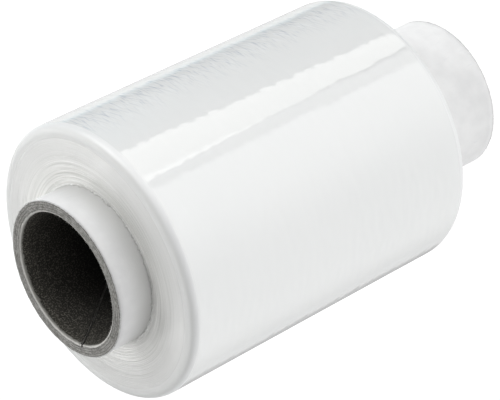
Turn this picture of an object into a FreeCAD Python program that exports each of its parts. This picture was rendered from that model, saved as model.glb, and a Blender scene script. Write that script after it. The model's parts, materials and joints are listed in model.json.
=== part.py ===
import FreeCAD
import Part
import math
import os

# A small roll of clear stretch film for wrapping parcels by hand: about 150 m of film, wound on a
# spirally wound board core that stands out at both ends as a grip, further at one end than at the other.
# The roll stands on the cut end of its long grip. The origin is the centre of that cut end, +Z is the
# winding axis, and lengths are in millimetres and angles in degrees.

# Core board: grey plies round an open bore
bore_radius = 19.0
ply_thickness = 0.75
ply_count = 4
# White paper glued round the board as its last ply
paper_thickness = 0.25
# How far the core stands out of the film, below and above
long_grip = 29.0
short_grip = 10.0
# Film: the width of the web, how thick the wound turns are, and the room that their start leaves on the core
film_width = 100.0
film_build = 17.1
winding_clearance = 0.05

# Angle between the edges of the wound plies and the axis: it sets the pitch of every seam
winding_angle = 36.5
# The gap that the innermost ply leaves where its edges meet, and where it runs out at the top
bore_seam_width = 0.6
bore_seam_top_angle = 155.7
# The hairline gap in the white paper
paper_seam_width = 0.3
paper_seam_top_angle = 100.0

# Cut ends of the core: the bevel inside the bore's mouth, and the lines between the plies
mouth_bevel = 0.35
ply_line_width = 0.16
ply_line_depth = 0.12

# Ends of the wound film: the edges of its turns lie in rings, dished towards the core, and the last
# turns are narrower, which rounds the outer corner off in a few flats
ring_pitch = 1.8
ring_relief = 0.3
outer_relief_share = 0.25
ring_crest_place = 0.35
end_dish = 0.8
corner_radius = 2.5
corner_flats = 3
# The rings' depths follow a sine, which starts at another angle at each end, here in radians
top_start_angle = 0.6
base_start_angle = 2.1
step_angle = 2.4

board_radius = bore_radius + ply_count * ply_thickness
core_radius = board_radius + paper_thickness
core_length = long_grip + film_width + short_grip
film_inner_radius = core_radius + winding_clearance
film_radius = film_inner_radius + film_build
film_base = long_grip
film_top = long_grip + film_width
seam_pitch = 2 * math.pi * bore_radius / math.tan(math.radians(winding_angle))
# A cutting tool runs past what it cuts by this much
overrun = 1.0


def revolved(edges):
    """The solid that a closed outline in the XZ plane sweeps round the Z axis."""
    face = Part.Face(Part.Wire(edges))
    return face.revolve(FreeCAD.Vector(0, 0, 0), FreeCAD.Vector(0, 0, 1), 360)


def lines_through(points):
    """Straight edges through (radius, height) points, in order."""
    places = [FreeCAD.Vector(radius, 0, height) for radius, height in points]
    return [Part.makeLine(a, b) for a, b in zip(places, places[1:])]


def seam_cutter(inner_radius, outer_radius, width, top_angle):
    """A strip of helical thread that follows a ply's seam along the whole core."""
    below = core_radius
    length = core_length + 2 * below
    middle_radius = (inner_radius + outer_radius) / 2
    reach = (outer_radius - inner_radius) / 2
    helix = Part.makeHelix(seam_pitch, length, middle_radius)
    along = FreeCAD.Vector(0, 2 * math.pi * middle_radius, seam_pitch).normalize()
    outward = FreeCAD.Vector(1, 0, 0)
    across = along.cross(outward)
    start = FreeCAD.Vector(middle_radius, 0, 0)
    corners = [
        start + outward * (reach * side) + across * (width / 2 * end)
        for side, end in ((-1, -1), (1, -1), (1, 1), (-1, 1))
    ]
    section = Part.makePolygon(corners + corners[:1])
    strip = Part.Wire(helix).makePipeShell([section], True, True)
    strip.translate(FreeCAD.Vector(0, 0, -below))
    turn = top_angle - 360 * (core_length + below) / seam_pitch
    strip.rotate(FreeCAD.Vector(0, 0, 0), FreeCAD.Vector(0, 0, 1), turn)
    return strip


def cut_end():
    """The board's cut end from the bore to its outside, as (radius, depth below the cut)."""
    points = [(bore_radius, mouth_bevel), (bore_radius + mouth_bevel, 0)]
    for ply in range(1, ply_count):
        line_radius = bore_radius + ply * ply_thickness
        points += [
            (line_radius - ply_line_width / 2, 0),
            (line_radius, ply_line_depth),
            (line_radius + ply_line_width / 2, 0),
        ]
    return points + [(board_radius, 0)]


def make_core_tube():
    """The grey board tube, with its ply lines at both ends and the open seam in its bore."""
    base = [(radius, depth) for radius, depth in cut_end()]
    top = [(radius, core_length - depth) for radius, depth in cut_end()]
    outline = base + top[::-1] + base[:1]
    tube = revolved(lines_through(outline))
    seam = seam_cutter(
        bore_radius - overrun, bore_radius + ply_thickness, bore_seam_width, bore_seam_top_angle
    )
    return tube.cut(seam)


def make_core_paper():
    """The white paper ply: a strip wound round the board, whose edges don't quite meet."""
    outline = [
        (board_radius, 0),
        (core_radius, 0),
        (core_radius, core_length),
        (board_radius, core_length),
        (board_radius, 0),
    ]
    ply = revolved(lines_through(outline))
    seam = seam_cutter(
        board_radius - overrun, core_radius + overrun, paper_seam_width, paper_seam_top_angle
    )
    return ply.cut(seam)


def wound_end(start_angle):
    """One end of the film, from the core out over its rings and round the corner, as (radius, height)."""
    corner_start = film_radius - corner_radius
    spread = corner_start - film_inner_radius
    ring_count = max(2, int(spread / ring_pitch))
    ring_width = spread / ring_count
    points = []
    for ring in range(ring_count):
        share = ring / ring_count
        dish = -end_dish * (1 - share) ** 2
        fade = 1 - share * (1 - outer_relief_share)
        relief = ring_relief * fade * (0.5 + 0.5 * math.sin(step_angle * ring + start_angle))
        radius = film_inner_radius + ring * ring_width
        points.append((radius, dish - relief))
        points.append((radius + ring_crest_place * ring_width, dish))
    for flat in range(corner_flats + 1):
        turn = math.radians(90 * flat / corner_flats)
        points.append((
            corner_start + corner_radius * math.sin(turn),
            corner_radius * (math.cos(turn) - 1),
        ))
    return points


def make_film():
    """The wound film: one web, whose turns show as rings at both ends."""
    top = [(radius, film_top + height) for radius, height in wound_end(top_start_angle)]
    base = [(radius, film_base - height) for radius, height in wound_end(base_start_angle)]
    return revolved(lines_through(base + top[::-1] + base[:1]))


def main():
    os.makedirs("parts", exist_ok=True)
    pieces = {
        "core_tube": make_core_tube(),
        "core_outer_paper": make_core_paper(),
        "film_roll": make_film(),
    }
    for name, shape in pieces.items():
        shape.exportStep(f"parts/{name}.step")
        print(name, len(shape.Solids), "solid", round(shape.Volume), "mm3, valid", shape.isValid())


main()
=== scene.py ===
import json
import math

import bmesh
import bpy
from mathutils import Matrix, Vector


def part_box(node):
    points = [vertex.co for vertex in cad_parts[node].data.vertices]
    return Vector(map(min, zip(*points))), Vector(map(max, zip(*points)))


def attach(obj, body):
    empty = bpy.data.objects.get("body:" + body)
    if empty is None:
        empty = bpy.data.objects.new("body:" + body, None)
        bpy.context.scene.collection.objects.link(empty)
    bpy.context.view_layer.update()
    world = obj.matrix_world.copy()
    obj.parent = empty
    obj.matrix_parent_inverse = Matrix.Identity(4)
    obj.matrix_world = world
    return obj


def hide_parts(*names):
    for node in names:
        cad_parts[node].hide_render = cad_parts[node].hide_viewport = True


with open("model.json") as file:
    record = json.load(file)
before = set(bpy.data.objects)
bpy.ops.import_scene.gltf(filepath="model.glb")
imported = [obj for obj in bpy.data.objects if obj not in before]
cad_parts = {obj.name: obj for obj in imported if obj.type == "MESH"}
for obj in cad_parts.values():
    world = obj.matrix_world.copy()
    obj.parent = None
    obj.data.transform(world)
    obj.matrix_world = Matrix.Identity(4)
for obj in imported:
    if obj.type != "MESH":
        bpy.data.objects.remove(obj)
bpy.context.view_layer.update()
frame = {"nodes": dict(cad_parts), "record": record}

# A small hand roll of clear stretch film on a paper-covered board core, standing on its long grip.
# Lengths are in metres and the frame is the part's own: the origin is the centre of the core's lower
# end and +Z is the winding axis. Angles are given in degrees, and nodes work in radians.

mm = 0.001
full_turn = 2 * math.pi


def radius_of(node):
    """The outer radius of a round node of the frame."""
    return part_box(node)[1].x


# Sizes that the frame gives
film_low, film_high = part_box("film_roll")
film_radius = radius_of("film_roll")
core_radius = radius_of("core_outer_paper")
board_radius = radius_of("core_tube")
core_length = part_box("core_tube")[1].z
bore = next(m for m in frame["record"]["mounts"] if m["name"] == "core_bore")
bore_radius = bore["dims"]["r_mm"] * mm

# Core: its plies, and the pitch and place of the seams, which repeat the part's
ply_thickness = 0.75 * mm
winding_angle = 36.5
seam_pitch = full_turn * bore_radius / math.tan(math.radians(winding_angle))
bore_seam_top_angle = 155.7
paper_seam_top_angle = 100.0
paper_seam_width = 0.3 * mm
# From the middle of the bore's seam to where it starts to fade and where it ends, as shares of a turn
bore_seam_fade, bore_seam_end = 0.0036, 0.0054
# The paper's torn edges: for each noise, its spread round the core, its share and its seed
torn_edges = ((9.0, 0.5, 3.0), (34.0, 0.35, 8.0), (120.0, 0.3, 15.0))
# Where the sum of those noises starts to tear the edge
torn_start = 0.42

# Film: its rounded corner, how far its ends are dished towards the core, and its tail
corner_radius = 2.5 * mm
end_dish = 0.8 * mm
tail_angle = 118.0
# The middle of a stretch of the side where the outermost turns are a little loose
loose_angle = -25.0
# The folds of the loose turns: the size of one, and the tilt and seed of each set of them
fold_length, fold_width = 6 * mm, 0.62 * mm
fold_sets = ((9, 0.0), (-12, 31.0))
# Rings of the film's ends, coarse and fine: pitch, length in pitches, share of the relief, the noise's
# detail, and what is added to the seed of the end
end_rings = ((2.3 * mm, 60, 1.2, 1.0, 0.0), (0.62 * mm, 90, 0.5, 2.0, 9.0))
# The ragged first turns: the width of one, and how finely they are torn round the axis
ruffle_width, ruffle_spread = 0.5 * mm, 45.0
# The radius at which the length of a noise in rings is measured
ring_radius = 30 * mm

# The direction that the flat end of the film mirrors to the camera lies in the YZ plane, at this y
mirrored_y = 0.8627
# Edges of the dark gap in that direction: the angle on the end, and how far it passes from the middle
gap_edges = ((-59.0, 0.0140), (-117.0, -0.0130))
# Half the width over which such an edge changes
gap_softness = 0.003
# The angle of the line over which the wedges' brightness shifts, half the width of that shift, and
# how much brighter than 1 they get by it
wedge_shift_angle, wedge_shift_reach, wedge_gain = 20.0, 0.05, 0.3
# How far from the mirrored direction the wedges start to fade, and how far out they end
wedge_fade, wedge_end = 0.55, 0.80
# The direction in which the room behind the camera is brightest
behind_x, behind_y, behind_z = -0.20, -0.97, 0.15
# From the horizon up to this height of a direction, the walls give way to the room above
wall_top = 0.30
# The height of one slat of the left wall and the gap below it, in degrees of elevation
slat_pitch = 11.0

# How bright each part of the light is: the room and what the film's end mirrors in it, the floor, the
# boxes, and last the walls below the floor, in the order in which the film's side mirrors them
levels = {
    "room": 0.25,
    "behind camera": 0.36,
    "end wedge": 0.9,
    "bright wedge": 1.5,
    "floor": 0.95,
    "key": 7.35,
    "streak": 1.44,
    "end right": 0.5,
    "end left": 1.85,
    "right wall": 1.25,
    "front wall": 0.62,
    "front gap": 0.94,
    "dim wall": 0.08,
    "left wall": 0.13,
    "upper rim": 0.73,
    "lower edge": 0.40,
    "lower rim": 0.77,
}

# Linear colours of the materials and of the room's light: pairs are the two ends of a blend
tones = {
    "film side": ((0.853, 0.868, 0.868), (0.882, 0.89, 0.888)),
    # painted shade and reflection in the folds, and painted glints on them
    "painted fold shade": (0.60, 0.64, 0.70),
    "painted fold glint": (0.95, 0.97, 0.99),
    # the film's ends: the ground between rings darker near the core as painted shade, the rings paler
    # there as painted glints
    "turn ground, painted shade near core": ((0.752, 0.757, 0.745), (0.71, 0.715, 0.69)),
    "turn rings, painted glint near core": ((0.775, 0.778, 0.768), (0.87, 0.87, 0.85)),
    # painted glints on the loose edges of the first turns
    "painted turn glint": (0.98, 0.98, 0.96),
    # painted shade on the film's rounded corner
    "film corner in painted shade": ((0.70, 0.71, 0.705), (0.80, 0.81, 0.815)),
    "paper": ((0.81, 0.812, 0.817), (0.89, 0.892, 0.895)),
    "paper scuff": (0.72, 0.73, 0.76),
    # painted shade: the paper's colour next to the film, where a contact shadow falls
    "paper in painted shade": (0.64, 0.64, 0.63),
    "sawn paper": (0.42, 0.42, 0.41),
    "cut board": ((0.16, 0.157, 0.148), (0.41, 0.405, 0.385)),
    "between plies": (0.12, 0.118, 0.11),
    "cut lip": (0.74, 0.73, 0.70),
    "cut rim": (0.17, 0.165, 0.155),
    "bore": ((0.024, 0.023, 0.019), (0.26, 0.245, 0.21)),
    # painted shade: the bore's colour further in, where less light reaches
    "bore in painted shade": (0.0035, 0.0035, 0.003),
    "bore mouth": (0.50, 0.49, 0.46),
    "bore seam": (0.004, 0.004, 0.004),
    "room light": ((1.0, 1.0, 0.995), (0.15, 0.80, 1.0)),
}

# The stage: half the floor's side, and the radius of the white dome that stands on it
floor_reach = 30.0
backdrop_radius = 29.0


class Signal:
    """One output of a node. Python's operators on it add Math nodes to its graph."""

    def __init__(self, graph, socket):
        self.graph = graph
        self.socket = socket

    def part(self, name):
        """Another output of the same node."""
        return Signal(self.graph, self.socket.node.outputs[name])

    def math(self, operation, *others):
        return self.graph.math(operation, self, *others)

    def __add__(self, other):
        return self.math("ADD", other)

    __radd__ = __add__

    def __sub__(self, other):
        return self.math("SUBTRACT", other)

    def __rsub__(self, other):
        return self.graph.math("SUBTRACT", other, self)

    def __mul__(self, other):
        return self.math("MULTIPLY", other)

    __rmul__ = __mul__

    def __truediv__(self, other):
        return self.math("DIVIDE", other)

    def __abs__(self):
        return self.math("ABSOLUTE")

    def sine(self):
        return self.math("SINE")

    def cosine(self):
        return self.math("COSINE")

    def power(self, exponent):
        return self.math("POWER", exponent)

    def in_degrees(self):
        return self * (360 / full_turn)

    def ramp(self, start, end, smooth=True):
        """0 before start, 1 after end, and a rise between them."""
        sockets = {"Value": self, "From Min": start, "From Max": end}
        kind = "SMOOTHSTEP" if smooth else "LINEAR"
        return self.graph.node("ShaderNodeMapRange", sockets, interpolation_type=kind)

    def fall(self, start, end):
        """1 before start, 0 after end, and a fall between them."""
        return 1 - self.ramp(start, end)

    def band(self, start, full, fade, end):
        """0 before start, 1 from full to fade, and 0 after end."""
        return self.ramp(start, full) * self.fall(fade, end)


class Graph:
    """A node tree, with one method that adds any node to it."""

    def __init__(self, tree):
        self.tree = tree
        tree.nodes.clear()

    def feed(self, socket, value):
        """Links a signal to a socket, or gives the socket a plain value."""
        if isinstance(value, Signal):
            self.tree.links.new(value.socket, socket)
        else:
            socket.default_value = value

    def node(self, kind, sockets=None, output=0, **settings):
        """Adds a node: its settings are set first, then its sockets get values or links."""
        made = self.tree.nodes.new(kind)
        for name, value in settings.items():
            setattr(made, name, value)
        for key, value in (sockets or {}).items():
            self.feed(made.inputs[key], value)
        return Signal(self, made.outputs[output]) if made.outputs else None

    def math(self, operation, *values):
        return self.node("ShaderNodeMath", dict(enumerate(values)), operation=operation)

    def vector(self, x, y, z):
        return self.node("ShaderNodeCombineXYZ", {"X": x, "Y": y, "Z": z})

    def split(self, vector):
        """The three coordinates of a vector."""
        axes = self.node("ShaderNodeSeparateXYZ", {"Vector": vector})
        return axes, axes.part("Y"), axes.part("Z")

    def noise(self, place, scale=1.0, detail=2.0, roughness=0.5):
        """Soft noise about 0.5, whose grain is one unit of place divided by scale."""
        sockets = {"Vector": place, "Scale": scale, "Detail": detail, "Roughness": roughness}
        return self.node("ShaderNodeTexNoise", sockets)

    def patches(self, cosine, sine, rise, spread, detail=2.0):
        """Noise round the axis, finer the larger its spread is: rise is a height counted in grains."""
        return self.noise(self.vector(cosine * spread, sine * spread, rise), detail=detail)

    def join(self, pieces):
        """Several pieces of geometry as one."""
        joined = self.node("GeometryNodeJoinGeometry")
        for piece in reversed(pieces):
            self.tree.links.new(piece.socket, joined.socket.node.inputs[0])
        return joined

    def chance(self, low, high, seed):
        """Another number between low and high for each point."""
        made = self.node("FunctionNodeRandomValue", data_type="FLOAT").socket.node
        for name, value in (("Min", low), ("Max", high), ("Seed", seed)):
            self.feed(next(s for s in made.inputs if s.name == name and s.enabled), value)
        return Signal(self, next(s for s in made.outputs if s.enabled))

    def blend(self, share, first, second):
        """A colour that goes from first to second with share."""
        mixer = self.node("ShaderNodeMix", {"Factor": share}, output=2, data_type="RGBA")
        for name, value in (("A_Color", first), ("B_Color", second)):
            socket = next(s for s in mixer.socket.node.inputs if s.identifier == name)
            self.feed(socket, value if isinstance(value, Signal) else (*value, 1.0))
        return mixer


def ring_reach(ring_width, stretch):
    """The factor on a direction from the axis that makes a noise's rings stretch ring widths long."""
    return ring_radius / (ring_width * stretch)


def seam_turn(drop):
    """How far round the core a seam winds over a drop in height, in radians."""
    return drop * (full_turn / seam_pitch)


class RoundPlace:
    """A surface point's place on the roll: height, radius, and the direction round the axis."""

    def __init__(self, graph):
        self.graph = graph
        self.point = graph.node("ShaderNodeTexCoord", output="Object")
        self.x, self.y, self.z = graph.split(self.point)
        self.radius = (self.x * self.x + self.y * self.y).power(0.5)
        self.cosine = self.x / self.radius
        self.sine = self.y / self.radius

    def angle_from(self, cut_angle):
        """Radians round the axis, from -pi to pi, which jump at cut_angle, given in degrees."""
        turn = math.radians(cut_angle - 180)
        along = self.x * math.cos(turn) + self.y * math.sin(turn)
        aside = self.y * math.cos(turn) - self.x * math.sin(turn)
        return aside.math("ARCTAN2", along)

    def inside(self, low, high):
        """How far the point lies inside the nearer of two heights: less than 0 beyond them."""
        return (high - low) / 2 - abs(self.z - (low + high) / 2)

    def rings(self, ring_width, stretch, seed):
        """Noise in rings about the axis, ring_width apart and stretch ring widths long."""
        reach = ring_reach(ring_width, stretch)
        along, aside = self.cosine * reach, self.sine * reach + seed
        return self.graph.noise(self.graph.vector(self.radius / ring_width, along, aside))


# Geometry


def add_object(name, data):
    """A new object of the scene."""
    added = bpy.data.objects.new(name, data)
    bpy.context.scene.collection.objects.link(added)
    return added


def plain_mesh(name, build, sizes, material):
    """The mesh that a Geometry Nodes tree makes, as a new object with nothing left live on it."""
    tree = bpy.data.node_groups.new(name + "_form", "GeometryNodeTree")
    tree.interface.new_socket(name="Geometry", in_out="OUTPUT", socket_type="NodeSocketGeometry")
    sockets = {
        label: tree.interface.new_socket(name=label, in_out="INPUT", socket_type="NodeSocketFloat")
        for label in sizes
    }
    graph = Graph(tree)
    given = graph.node("NodeGroupInput")
    geometry = build(graph, {label: given.part(label) for label in sizes})
    geometry = graph.node("GeometryNodeSetShadeSmooth", {"Geometry": geometry})
    geometry = graph.node("GeometryNodeRealizeInstances", {"Geometry": geometry})
    geometry = graph.node("GeometryNodeSetMaterial", {"Geometry": geometry, "Material": material})
    graph.node("NodeGroupOutput", {"Geometry": geometry})

    source = add_object(name + "_source", bpy.data.meshes.new(name + "_source"))
    modifier = source.modifiers.new("form", "NODES")
    modifier.node_group = tree
    for label, size in sizes.items():
        modifier[sockets[label].identifier] = float(size)
    bpy.context.view_layer.update()
    evaluated = source.evaluated_get(bpy.context.evaluated_depsgraph_get())
    mesh = bpy.data.meshes.new_from_object(evaluated)
    bpy.data.objects.remove(source)
    mesh.name = name
    return add_object(name, mesh)


def turned_sheet(graph, around, along, place):
    """A sheet of around by along cells, closed round the axis: place gives each point of it."""
    sockets = {"Size X": 1.0, "Size Y": 1.0, "Vertices X": around + 1, "Vertices Y": along + 1}
    sheet = graph.node("GeometryNodeMeshGrid", sockets)
    x, y, _ = graph.split(graph.node("GeometryNodeInputPosition"))
    position = place(x + 0.5, y + 0.5)
    moved = graph.node("GeometryNodeSetPosition", {"Geometry": sheet, "Position": position})
    return graph.node("GeometryNodeMergeByDistance", {"Geometry": moved, "Distance": 1e-6})


def stretches(share, *lengths):
    """Progress from 0 to 1 along each stretch of a closed outline, whose lengths are in samples."""
    total = sum(lengths)
    starts = [sum(lengths[:i]) for i in range(len(lengths))]
    return [
        share.ramp(start / total, (start + length) / total, smooth=False)
        for start, length in zip(starts, lengths)
    ]


def film_form(graph, size):
    """The wound film: finely ringed ends, rounded corners, and a side that is never quite even."""
    inner, outer = size["Inner Radius"], size["Outer Radius"]
    base, top = size["Base Height"], size["Top Height"]
    corner = size["Corner Radius"]
    end_samples, corner_samples, side_samples, inner_samples = 110, 9, 46, 4
    around = 320
    samples = (end_samples, corner_samples, side_samples, corner_samples, end_samples, inner_samples)
    quarter = full_turn / 4

    def end_drop(radius, cosine, sine, seed):
        """How far an end falls behind its rim: dished, in rings, and ragged at the first turns."""
        outward = (radius - inner) / (outer - inner)
        hollow = size["End Dish"] * (1 - outward).power(2.0)
        rings = 0.0
        for pitch, stretch, share, detail, seed_step in end_rings:
            reach = ring_reach(pitch, stretch)
            at = graph.vector(radius / pitch + (seed + seed_step), cosine * reach, sine * reach)
            rings = (graph.noise(at, detail=detail) - 0.5) * share + rings
        rings = rings * (1.05 - outward)
        turns = radius / ruffle_width + seed
        ruffle_at = graph.vector(turns, cosine * ruffle_spread, sine * ruffle_spread)
        ruffle = graph.noise(ruffle_at).ramp(0.48, 0.70) * size["Ruffle Height"]
        first_turns = radius.fall(inner, inner + size["Ruffle Width"])
        return hollow + rings * size["Ring Relief"] - ruffle * first_turns

    def place(round_share, outline_share):
        # The sheet starts and ends at the film's tail, where the last turn steps down to the one below
        angle = round_share * full_turn + math.radians(tail_angle)
        cosine, sine = angle.cosine(), angle.sine()
        t_top, t_top_corner, t_side, t_base_corner, t_base, t_inner = stretches(outline_share, *samples)
        flat = outer - corner - inner
        radius = inner + flat * t_top + corner * (t_top_corner * quarter).sine()
        radius = radius - corner * (1 - (t_base_corner * quarter).cosine()) - flat * t_base
        height = top - corner * (1 - (t_top_corner * quarter).cosine())
        height = height - (top - base - 2 * corner) * t_side
        height = height - corner * (t_base_corner * quarter).sine() + (top - base) * t_inner
        on_top = (1 - t_top_corner) + t_inner
        on_base = t_base_corner - t_inner
        on_side = t_top_corner * (1 - t_base_corner)

        height = height - on_top * end_drop(radius, cosine, sine, seed=3.0)
        height = height + on_base * end_drop(radius, cosine, sine, seed=47.0)
        waves = graph.patches(cosine, sine, height / (30 * mm), 1.4, detail=1.0) - 0.75
        tail_step = (round_share - 1.0) * round_share.ramp(0.0, 1.0 / around, smooth=False)
        radius = radius + on_side * (waves * size["Side Wave"] + tail_step * size["Tail Step"])
        return graph.vector(radius * cosine, radius * sine, height)

    # The outline runs from the core outwards over the top, so its faces are turned to look out
    sheet = turned_sheet(graph, around, sum(samples), place)
    return graph.node("GeometryNodeFlipFaces", {"Mesh": sheet})


def paper_form(graph, size):
    """The core's white outer ply: a strip wound in a helix, with edges that nearly meet."""
    inner, outer, length = size["Inner Radius"], size["Outer Radius"], size["Length"]
    wall_samples, edge_samples = 70, 3
    around = 400
    # The share of the core's length, at each end, over which the paper's torn edge draws it in
    torn_share = 0.015

    def place(round_share, outline_share):
        t_outer, t_top, t_inner, t_base = stretches(
            outline_share, wall_samples, edge_samples, wall_samples, edge_samples
        )
        height = length * (t_outer - t_inner)
        through = t_top - t_base
        feather = round_share.ramp(0.0, 1.0 / around, smooth=False)
        feather = feather * (1 - round_share).ramp(0.0, 1.0 / around, smooth=False)
        gap = size["Seam Width"] / outer
        seam_at = math.radians(paper_seam_top_angle) - seam_turn(length - height)
        angle = seam_at + gap * 0.5 + round_share * (full_turn - gap)
        cosine, sine = angle.cosine(), angle.sine()

        torn = 0.0
        for spread, share, seed in torn_edges:
            torn = graph.patches(cosine, sine, seed, spread) * share + torn
        torn = (torn - torn_start).math("MAXIMUM", 0.0) * size["Torn Depth"]
        near_top = height.ramp(length * (1 - torn_share), length)
        near_base = height.fall(0.0, length * torn_share)
        height = height + torn * (near_base - near_top)
        dents = (graph.patches(cosine, sine, height / (7 * mm), 3.0) - 0.5) * size["Dent Depth"]
        radius = inner + (outer - inner) * (1 - through) * feather + dents * feather
        return graph.vector(radius * cosine, radius * sine, height)

    return turned_sheet(graph, around, 2 * (wall_samples + edge_samples), place)


def scattered_fibres(graph, count, radii, heights, lean, length, width, seed):
    """Fine pointed fibres on a ring: lean gives how far out and how far up they point on average."""
    out_spread, aside_spread, up_spread = 0.8, 1.2, 0.06
    angle = graph.chance(0.0, full_turn, seed)
    radius = graph.chance(*radii, seed + 1)
    height = graph.chance(*heights, seed + 2)
    cosine, sine = angle.cosine(), angle.sine()
    place = graph.vector(cosine * radius, sine * radius, height)
    points = graph.node("GeometryNodePoints", {"Count": count, "Position": place})
    out = graph.chance(lean[0] - out_spread, lean[0] + out_spread, seed + 3)
    aside = graph.chance(-aside_spread, aside_spread, seed + 4)
    up = graph.chance(lean[1] - up_spread, lean[1] + up_spread, seed + 5)
    aim = graph.vector(cosine * out - sine * aside, sine * out + cosine * aside, up)
    turn = graph.node("FunctionNodeAlignRotationToVector", {"Vector": aim}, axis="Z")
    form = {"Vertices": 3, "Radius Top": width * 0.1, "Radius Bottom": width, "Depth": length}
    blade = graph.node("GeometryNodeMeshCone", form, fill_type="NGON")
    scale = graph.chance(0.3, 1.0, seed + 6)
    sockets = {"Points": points, "Instance": blade, "Rotation": turn, "Scale": scale}
    return graph.node("GeometryNodeInstanceOnPoints", sockets)


def cut_fuzz_form(graph, size):
    """Fibres that the saw left on both rims of the board's cut ends, bent over within its length."""
    top, bore_rim, board_rim = size["Length"], size["Bore Radius"], size["Board Radius"]
    # How far they are rooted from the cut end, and inside and outside the rim, and how they bend back
    near, far = 0.04 * mm, 0.14 * mm
    inside, outside = 0.15 * mm, 0.22 * mm
    bend = 0.08
    rims = []
    for number, (low, high, up) in enumerate(((top - far, top - near, -bend), (near, far, bend))):
        for rim, out, count in ((board_rim, 0.8, 420), (bore_rim, -0.6, 520)):
            rims.append(scattered_fibres(
                graph,
                count,
                radii=(rim - inside, rim + outside),
                heights=(low, high),
                lean=(out, up),
                length=size["Fibre Length"],
                width=size["Fibre Width"],
                seed=20 * len(rims) + number,
            ))
    return graph.join(rims)


# Materials


def new_material(name):
    """A new material and its emptied node tree."""
    material = bpy.data.materials.new(name)
    material.use_nodes = True
    return material, Graph(material.node_tree)


def finish_surface(graph, **sockets):
    """A Principled surface, with its sockets named as words joined by underscores."""
    named = {key.replace("_", " "): value for key, value in sockets.items()}
    surface = graph.node("ShaderNodeBsdfPrincipled", named)
    graph.node("ShaderNodeOutputMaterial", {"Surface": surface})


def bump(graph, height):
    """A normal from a height in millimetres."""
    return graph.node("ShaderNodeBump", {"Height": height, "Distance": 1 * mm, "Strength": 1.0})


def film_side(graph, place, from_end):
    """Colour, and height in millimetres, of the film's side.

    Loose folds lie nearly round the roll: many along one stretch of it and beside the tail, and few
    elsewhere. Some folds are coloured darker and bluish as painted shade and painted reflection, and
    others paler as painted glints.
    """
    around = place.angle_from(tail_angle)
    loose = place.angle_from(loose_angle + 180).in_degrees().band(-22.0, -1.0, 5.0, 8.0)
    beside_tail = abs(around.in_degrees()).ramp(150.0, 174.0)
    loose = (loose + beside_tail * 0.8) * from_end.ramp(1.8 * mm, 3.2 * mm)

    arc = around * film_radius
    folds, painted_fold_shade, painted_fold_glints = 0.0, 0.0, 0.0
    for tilt, seed in fold_sets:
        c, s = math.cos(math.radians(tilt)), math.sin(math.radians(tilt))
        along = arc * c + place.z * s
        across = place.z * c - arc * s
        fold = graph.noise(graph.vector(along / fold_length, across / fold_width, seed), detail=1.0)
        folds = abs(fold - 0.5) + folds
        # Where a fold is coloured darker as painted shade, and where paler as a painted glint
        painted_fold_shade = fold.ramp(0.56, 0.68) + painted_fold_shade
        painted_fold_glints = fold.fall(0.30, 0.42) + painted_fold_glints
    waver = graph.noise(graph.vector(arc / (5 * mm), place.z / (2.4 * mm), 3.0), detail=0.0)
    tension = graph.patches(place.cosine, place.sine, place.z / (5 * mm), 1.5, detail=1.0)
    height = folds * (0.002 + loose * 0.05) + (waver - 0.5) * 0.075 + (tension - 0.5) * 0.08

    cloud = graph.patches(place.cosine, place.sine, place.z / (45 * mm), 1.2)
    colour = graph.blend(cloud, *tones["film side"])
    # Painted shade and reflection, bluish grey, in some folds, and painted glints on others
    colour = graph.blend(painted_fold_shade * loose * 0.55, colour, tones["painted fold shade"])
    colour = graph.blend(painted_fold_glints * loose * 0.5, colour, tones["painted fold glint"])
    return colour, height


def film_end(graph, place):
    """Colour, and height in millimetres, of the film's ends, where its turns' edges lie in rings.

    The fine rings lie everywhere, the coarser ones are higher near the core, and pale marks are the
    loose edges of the first turns, coloured paler as painted glints. Near the core the ground between
    the rings is darker as painted shade and the rings are paler as painted glints.
    """
    near_core = place.radius.fall(core_radius + 3 * mm, film_radius - 6 * mm)
    first_turns = place.radius.fall(core_radius + 0.4 * mm, core_radius + 3.2 * mm)
    fine = place.rings(0.17 * mm, 260, seed=5.0)
    coarse = place.rings(0.55 * mm, 60, seed=11.0)
    ring_tone = place.rings(0.5 * mm, 70, seed=21.0).ramp(0.3, 0.7)
    # The loose edges of the first turns: a small bump, and a paler colour that is a painted glint
    loose_edges_and_glints = place.rings(0.30 * mm, 9, seed=33.0).ramp(0.58, 0.70) * first_turns
    height = (fine - 0.5) * (0.045 + near_core * 0.06) + (coarse - 0.5) * (0.015 + near_core * 0.12)
    height = height + loose_edges_and_glints * 0.06

    # Near the core the ground between the rings is darker as painted shade, and the rings paler as
    # painted glints
    turn_ground_and_shade = graph.blend(near_core, *tones["turn ground, painted shade near core"])
    turn_rings_and_glints = graph.blend(near_core, *tones["turn rings, painted glint near core"])
    colour = graph.blend(ring_tone, turn_ground_and_shade, turn_rings_and_glints)
    # Painted glints on the loose edges of the first turns
    colour = graph.blend(loose_edges_and_glints * 0.8, colour, tones["painted turn glint"])
    return colour, height


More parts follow.
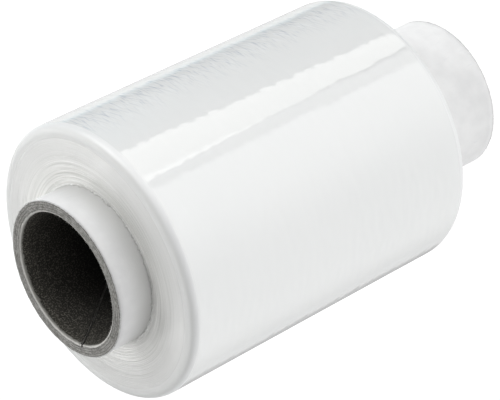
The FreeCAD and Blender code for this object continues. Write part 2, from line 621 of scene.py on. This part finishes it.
def make_clear_film():
    """Stretch film by the hundred turns: milky and glossy, and duller on the rounded corner."""
    material, graph = new_material("clear_film")
    place = RoundPlace(graph)
    from_end = place.inside(film_low.z, film_high.z)
    at_end = from_end.fall(0.7 * mm, 1.6 * mm)
    at_end = at_end * place.radius.fall(film_radius - 1.6 * mm, film_radius - 0.6 * mm)
    at_corner = from_end.fall(corner_radius * 0.7, corner_radius * 1.2)
    at_corner = at_corner * place.radius.ramp(film_radius - 5 * mm, film_radius - 2.3 * mm)

    side_colour, side_height = film_side(graph, place, from_end)
    end_colour, end_height = film_end(graph, place)
    # Painted shade: the rounded corner is coloured darker than the side, darkest next to the end; its
    # roughness is real
    corner_colour_painted_shade = graph.blend(from_end.ramp(0.3 * mm, 1.2 * mm), *tones["film corner in painted shade"])
    flat_colour = graph.blend(at_end, side_colour, end_colour)
    finish_surface(
        graph,
        Base_Color=graph.blend(at_corner * 0.8, flat_colour, corner_colour_painted_shade),
        Roughness=0.05 + at_corner * 0.42,
        IOR=1.9,
        Subsurface_Weight=0.35,
        Subsurface_Radius=(1.0, 1.0, 1.0),
        Subsurface_Scale=3 * mm,
        Normal=bump(graph, side_height * (1 - at_end) + end_height * at_end),
    )
    return material


def make_white_paper():
    """The core's white outer ply: matt, faintly mottled and scuffed, and greyer where it was sawn."""
    material, graph = new_material("white_paper")
    place = RoundPlace(graph)
    mottle = graph.noise(place.point, scale=240.0, detail=3.0)
    cloud = graph.noise(place.point, scale=90.0)
    fibre = graph.noise(place.point, scale=1800.0)
    tone = graph.blend((mottle * 0.5 + cloud * 0.5).ramp(0.3, 0.7), *tones["paper"])
    arc = place.angle_from(0.0) * core_radius
    scuff_at = graph.vector(arc / (1.2 * mm), place.z / (5 * mm), 0.0)
    scuff = graph.noise(scuff_at, detail=3.0, roughness=0.6).ramp(0.60, 0.78)
    tone = graph.blend(scuff * 0.35, tone, tones["paper scuff"])
    # Painted shade: the paper is greyer in the corner that it makes with the film, where a contact
    # shadow falls
    painted_junction_shade = place.inside(film_low.z, film_high.z).ramp(-8 * mm, 0.0) * (0.75 + cloud * 0.3)
    tone = graph.blend(painted_junction_shade, tone, tones["paper in painted shade"])
    near_cut = place.inside(0.0, core_length).fall(0.1 * mm, 0.7 * mm)
    sawn = near_cut * graph.noise(place.point, scale=900.0)
    finish_surface(
        graph,
        Base_Color=graph.blend(sawn * 0.9, tone, tones["sawn paper"]),
        Roughness=0.60 + fibre * 0.25,
        IOR=1.45,
        Normal=bump(graph, fibre * 0.03 + mottle * 0.05 + cloud * 0.12),
    )
    return material


def board_cut(graph, place, fibre, clump):
    """Colour of the board's cut ends: strands, the lines of the plies, a pale lip and a dark rim."""
    wander = (graph.noise(place.point, scale=300.0) - 0.5) * 0.5
    ply_at = ((place.radius - bore_radius) / ply_thickness + wander).math("FRACT")
    between_plies = 1 - ply_at.band(0.0, 0.16, 0.84, 1.0)
    strands = place.rings(0.14 * mm, 9, seed=2.0).ramp(0.3, 0.7)
    shade = strands * 0.5 + fibre.ramp(0.25, 0.75) * 0.3 + clump.ramp(0.3, 0.7) * 0.2
    tone = graph.blend(shade.ramp(0.15, 0.85), *tones["cut board"])
    tone = graph.blend(between_plies * 0.75, tone, tones["between plies"])
    ragged = place.radius + (clump - 0.5) * (0.8 * mm)
    lip = ragged.fall(bore_radius + 0.26 * mm, bore_radius + 0.52 * mm)
    tone = graph.blend(lip * 0.85, tone, tones["cut lip"])
    rim = ragged.ramp(board_radius - 0.16 * mm, board_radius - 0.04 * mm)
    return graph.blend(rim * 0.7, tone, tones["cut rim"])


def board_bore(graph, place, clump):
    """Colour of the bore: flecked board that gets no light further in, and the innermost ply's seam."""
    depth = place.inside(0.0, core_length)
    # Painted shade: the bore darkens further in from its mouth, where less light reaches
    painted_depth_shade = depth.ramp(2 * mm, 24 * mm, smooth=False).power(0.7)
    fleck = graph.noise(place.point, scale=2600.0, detail=1.0).ramp(0.50, 0.66)
    tone = graph.blend(fleck * 0.7 + clump * 0.2, *tones["bore"])
    tone = graph.blend(painted_depth_shade, tone, tones["bore in painted shade"])
    mouth = (depth + (clump - 0.5) * (1.2 * mm)).fall(0.5 * mm, 1.2 * mm)
    tone = graph.blend(mouth * 0.85, tone, tones["bore mouth"])
    past_seam = place.angle_from(bore_seam_top_angle + 180) + seam_turn(core_length - place.z)
    turns_past = (past_seam / full_turn + 0.5).math("FRACT") - 0.5
    return graph.blend(abs(turns_past).fall(bore_seam_fade, bore_seam_end), tone, tones["bore seam"])


def make_grey_board():
    """Grey board: fibrous at its cut ends, and dark in its bore."""
    material, graph = new_material("grey_board")
    place = RoundPlace(graph)
    fibre = graph.noise(place.point, scale=1700.0, detail=3.0, roughness=0.7)
    clump = graph.noise(place.point, scale=420.0)
    in_bore = place.radius.fall(bore_radius + 0.02 * mm, bore_radius + 0.1 * mm)
    cut_tone = board_cut(graph, place, fibre, clump)
    finish_surface(
        graph,
        Base_Color=graph.blend(in_bore, cut_tone, board_bore(graph, place, clump)),
        Roughness=0.80 + fibre * 0.18,
        IOR=1.35,
        Normal=bump(graph, fibre * 0.07 + clump * 0.10),
    )
    return material


# Stage, lights and camera


def make_floor():
    """A plain pale floor that glows a little, as a lit white sweep does."""
    mesh = bpy.data.meshes.new("floor")
    corners = [(floor_reach * x, floor_reach * y, 0) for x, y in ((-1, -1), (1, -1), (1, 1), (-1, 1))]
    mesh.from_pydata(corners, [], [(0, 1, 2, 3)])
    floor = add_object("floor", mesh)
    material, graph = new_material("pale_floor")
    finish_surface(
        graph,
        Base_Color=(0.15, 0.15, 0.15, 1.0),
        Roughness=0.9,
        Emission_Color=(1.0, 1.0, 1.0, 1.0),
        Emission_Strength=levels["floor"],
    )
    mesh.materials.append(material)
    floor.visible_glossy = False


def make_backdrop():
    """A white dome far away, which only the camera sees."""
    mesh = bpy.data.meshes.new("backdrop")
    form = bmesh.new()
    bmesh.ops.create_uvsphere(form, u_segments=48, v_segments=24, radius=backdrop_radius)
    bmesh.ops.reverse_faces(form, faces=form.faces)
    form.to_mesh(mesh)
    form.free()
    backdrop = add_object("backdrop", mesh)
    material, graph = new_material("white_backdrop")
    glow = graph.node("ShaderNodeEmission", {"Color": (1, 1, 1, 1), "Strength": 1.0})
    graph.node("ShaderNodeOutputMaterial", {"Surface": glow})
    mesh.materials.append(material)
    for ray in ("diffuse", "glossy", "transmission", "shadow", "volume_scatter"):
        setattr(backdrop, "visible_" + ray, False)


def posed(place, right, up, back):
    """The matrix of an object at a place, whose own axes point in those three directions."""
    return Matrix.Translation(place) @ Matrix((right, up, back)).transposed().to_4x4()


def add_softbox(
    name, place, across, along, width, length, brightness, lights_all=False, tint=(1, 1, 1)
):
    """A rectangular soft light whose sides lie along two directions. Some only show in reflections."""
    across, along, place = Vector(across).normalized(), Vector(along), Vector(place)
    along = (along - along.dot(across) * across).normalized()
    behind = across.cross(along)
    if behind.dot(place - Vector((0, 0, core_length / 2))) < 0:
        along, behind = -along, -behind
    data = bpy.data.lights.new(name, "AREA")
    data.shape = "RECTANGLE"
    data.size = width
    data.size_y = length
    # The light's radiance is its power over its area and pi
    data.energy = brightness * width * length * math.pi
    data.color = tint
    light = add_object(name, data)
    light.matrix_world = posed(place, across, along, behind)
    light.visible_camera = False
    light.visible_diffuse = lights_all


def end_wedges(x, y):
    """Two bright wedges, like a bow tie, about the direction that the film's flat end mirrors.

    The rings of the end spread what they mirror towards and away from the axis, so the wedges show on
    it as bright sectors with a dark gap between them.
    """
    aside, onward = x, y - mirrored_y

    def beyond(edge_angle):
        """How far a direction lies beyond the line through the middle at that angle."""
        turn = math.radians(edge_angle)
        return onward * math.cos(turn) - aside * math.sin(turn)

    first, second = [
        (beyond(angle) - offset).ramp(-gap_softness, gap_softness) for angle, offset in gap_edges
    ]
    shift = beyond(wedge_shift_angle).ramp(-wedge_shift_reach, wedge_shift_reach)
    wedges = first * second * (1 + shift * wedge_gain)
    wedges = wedges + (1 - first) * (1 - second) * (1 + wedge_gain - shift)
    wedges = wedges * levels["end wedge"] + first * onward.fall(-0.05, 0.01) * levels["bright wedge"]
    reach = (aside * aside + onward * onward).power(0.5)
    return wedges * reach.fall(wedge_fade, wedge_end)


def walls_below(azimuth, elevation):
    """Brightness of the walls below the floor, which the film's side mirrors as bands along it."""
    right_wall = azimuth.band(-145.0, -90.0, -90.0, 0.0) * levels["front wall"] + levels["right wall"]
    # Slats let the wrinkles show: each small tilt of the film moves its reflection from one to the next
    slats = 0.5 + (elevation * (full_turn / slat_pitch)).sine() * 0.5
    left_wall = azimuth.fall(8.0, 60.0) * slats * levels["left wall"]
    walls = before = right_wall
    # The azimuth where the brightness changes, over how many degrees, and the brightness after it
    for middle, width, after in (
        (-58.0, 4.0, levels["front gap"]),
        (-46.0, 4.0, levels["dim wall"]),
        (-7.0, 4.0, left_wall),
        (51.0, 4.0, levels["upper rim"]),
        (94.0, 6.0, levels["lower edge"]),
        (117.0, 4.0, levels["lower rim"]),
        (148.0, 36.0, levels["right wall"]),
    ):
        walls = walls + azimuth.ramp(middle - width / 2, middle + width / 2) * (after - before)
        before = after
    return walls


def make_room_light():
    """The soft light of the room, and below the floor the walls that the film's side reflects."""
    world = bpy.data.worlds.new("room")
    bpy.context.scene.world = world
    world.use_nodes = True
    graph = Graph(world.node_tree)
    x, y, z = graph.split(graph.node("ShaderNodeTexCoord", output="Generated"))
    behind_camera = (y * behind_y + x * behind_x + z * behind_z).ramp(0.0, 1.0, smooth=False)
    above = behind_camera.power(2.0) * levels["behind camera"] + end_wedges(x, y) + levels["room"]
    azimuth = y.math("ARCTAN2", x).in_degrees()
    elevation = z.math("ARCSINE").in_degrees()
    under = z.fall(0.0, wall_top)
    strength = above * (1 - under) + walls_below(azimuth, elevation) * under
    cool = azimuth.band(-12.0, -6.0, 50.0, 56.0) * under
    colour = graph.blend(cool, *tones["room light"])
    glow = graph.node("ShaderNodeBackground", {"Color": colour, "Strength": strength})
    graph.node("ShaderNodeOutputWorld", {"Surface": glow})


def make_lights():
    """The room's light, and four soft boxes."""
    make_room_light()
    # High in the picture: the only light that throws a soft shadow of the core on the film's end
    add_softbox(
        "key_light",
        place=(0.99, -0.09, 0.79),
        across=(0.09, 0.996, 0.0),
        along=(-0.58, 0.05, 0.81),
        width=0.5,
        length=0.5,
        brightness=levels["key"],
        lights_all=True,
    )
    # Its reflection is the long bright streak on the film's side
    add_softbox(
        "streak_light",
        place=(0.2647, -0.1999, -0.1708),
        across=(-0.5617, -0.8273, -0.0112),
        along=(-0.458, 0.2996, 0.837),
        width=0.1174,
        length=0.9,
        brightness=levels["streak"],
        tint=(1.0, 0.995, 0.955),
    )
    # Two boxes beyond the roll light its upper end from both sides
    add_softbox(
        "end_light_right",
        place=(0.295, 0.658, 0.822),
        across=(0.414, 0.565, -0.713),
        along=(0.888, -0.452, 0.051),
        width=0.49,
        length=0.38,
        brightness=levels["end right"],
        lights_all=True,
    )
    add_softbox(
        "end_light_left",
        place=(-0.4087, 0.521, 0.878),
        across=(-0.5789, 0.3832, -0.72),
        along=(-0.6716, -0.739, 0.06),
        width=0.35,
        length=0.38,
        brightness=levels["end left"],
        lights_all=True,
    )


def make_camera():
    """A long lens that looks down at the roll, rolled so that the axis runs across the picture."""
    elevation = math.radians(34.073)
    heading = math.radians(-0.305)
    roll = math.radians(116.768)
    aim = Vector((-0.00315, 0.0, 0.07574))
    distance = 0.71342
    forward = Vector((
        math.sin(heading) * math.cos(elevation),
        math.cos(heading) * math.cos(elevation),
        -math.sin(elevation),
    ))
    right = forward.cross(Vector((0, 0, 1))).normalized()
    up = right.cross(forward)
    tilted_up = up * math.cos(roll) + right * math.sin(roll)
    tilted_right = forward.cross(tilted_up)
    data = bpy.data.cameras.new("camera")
    data.lens = 187.13
    data.sensor_width = 36.0
    data.clip_start = 0.05
    data.clip_end = 100.0
    camera = add_object("camera", data)
    camera.matrix_world = posed(aim - forward * distance, tilted_right, tilted_up, -forward)
    bpy.context.scene.camera = camera


def main():
    bpy.context.scene.view_settings.view_transform = "Standard"
    make_camera()
    make_floor()
    make_backdrop()
    make_lights()

    clear_film = make_clear_film()
    white_paper = make_white_paper()
    grey_board = make_grey_board()

    film = plain_mesh(
        "wound_film",
        film_form,
        {
            "Inner Radius": core_radius,
            "Outer Radius": film_radius,
            "Base Height": film_low.z,
            "Top Height": film_high.z,
            "Corner Radius": corner_radius,
            "End Dish": end_dish,
            "Ring Relief": 0.12 * mm,
            "Ruffle Width": 0.9 * mm,
            "Ruffle Height": 0.7 * mm,
            "Side Wave": 0.16 * mm,
            "Tail Step": 0.15 * mm,
        },
        clear_film,
    )
    paper = plain_mesh(
        "paper_wrap",
        paper_form,
        {
            "Inner Radius": board_radius,
            "Outer Radius": core_radius,
            "Length": core_length,
            "Seam Width": paper_seam_width,
            "Torn Depth": 0.7 * mm,
            "Dent Depth": 0.12 * mm,
        },
        white_paper,
    )
    fuzz = plain_mesh(
        "cut_fuzz",
        cut_fuzz_form,
        {
            "Length": core_length,
            "Bore Radius": bore_radius,
            "Board Radius": board_radius,
            "Fibre Length": 0.45 * mm,
            "Fibre Width": 0.035 * mm,
        },
        grey_board,
    )
    for piece, slot in (
        (film, "clear_film"),
        (paper, "white_paper"),
        (fuzz, "grey_board"),
    ):
        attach(piece, "root")
    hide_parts("film_roll")
    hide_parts("core_outer_paper")

    board = frame["nodes"]["core_tube"].data
    board.materials.clear()
    board.materials.append(grey_board)


main()
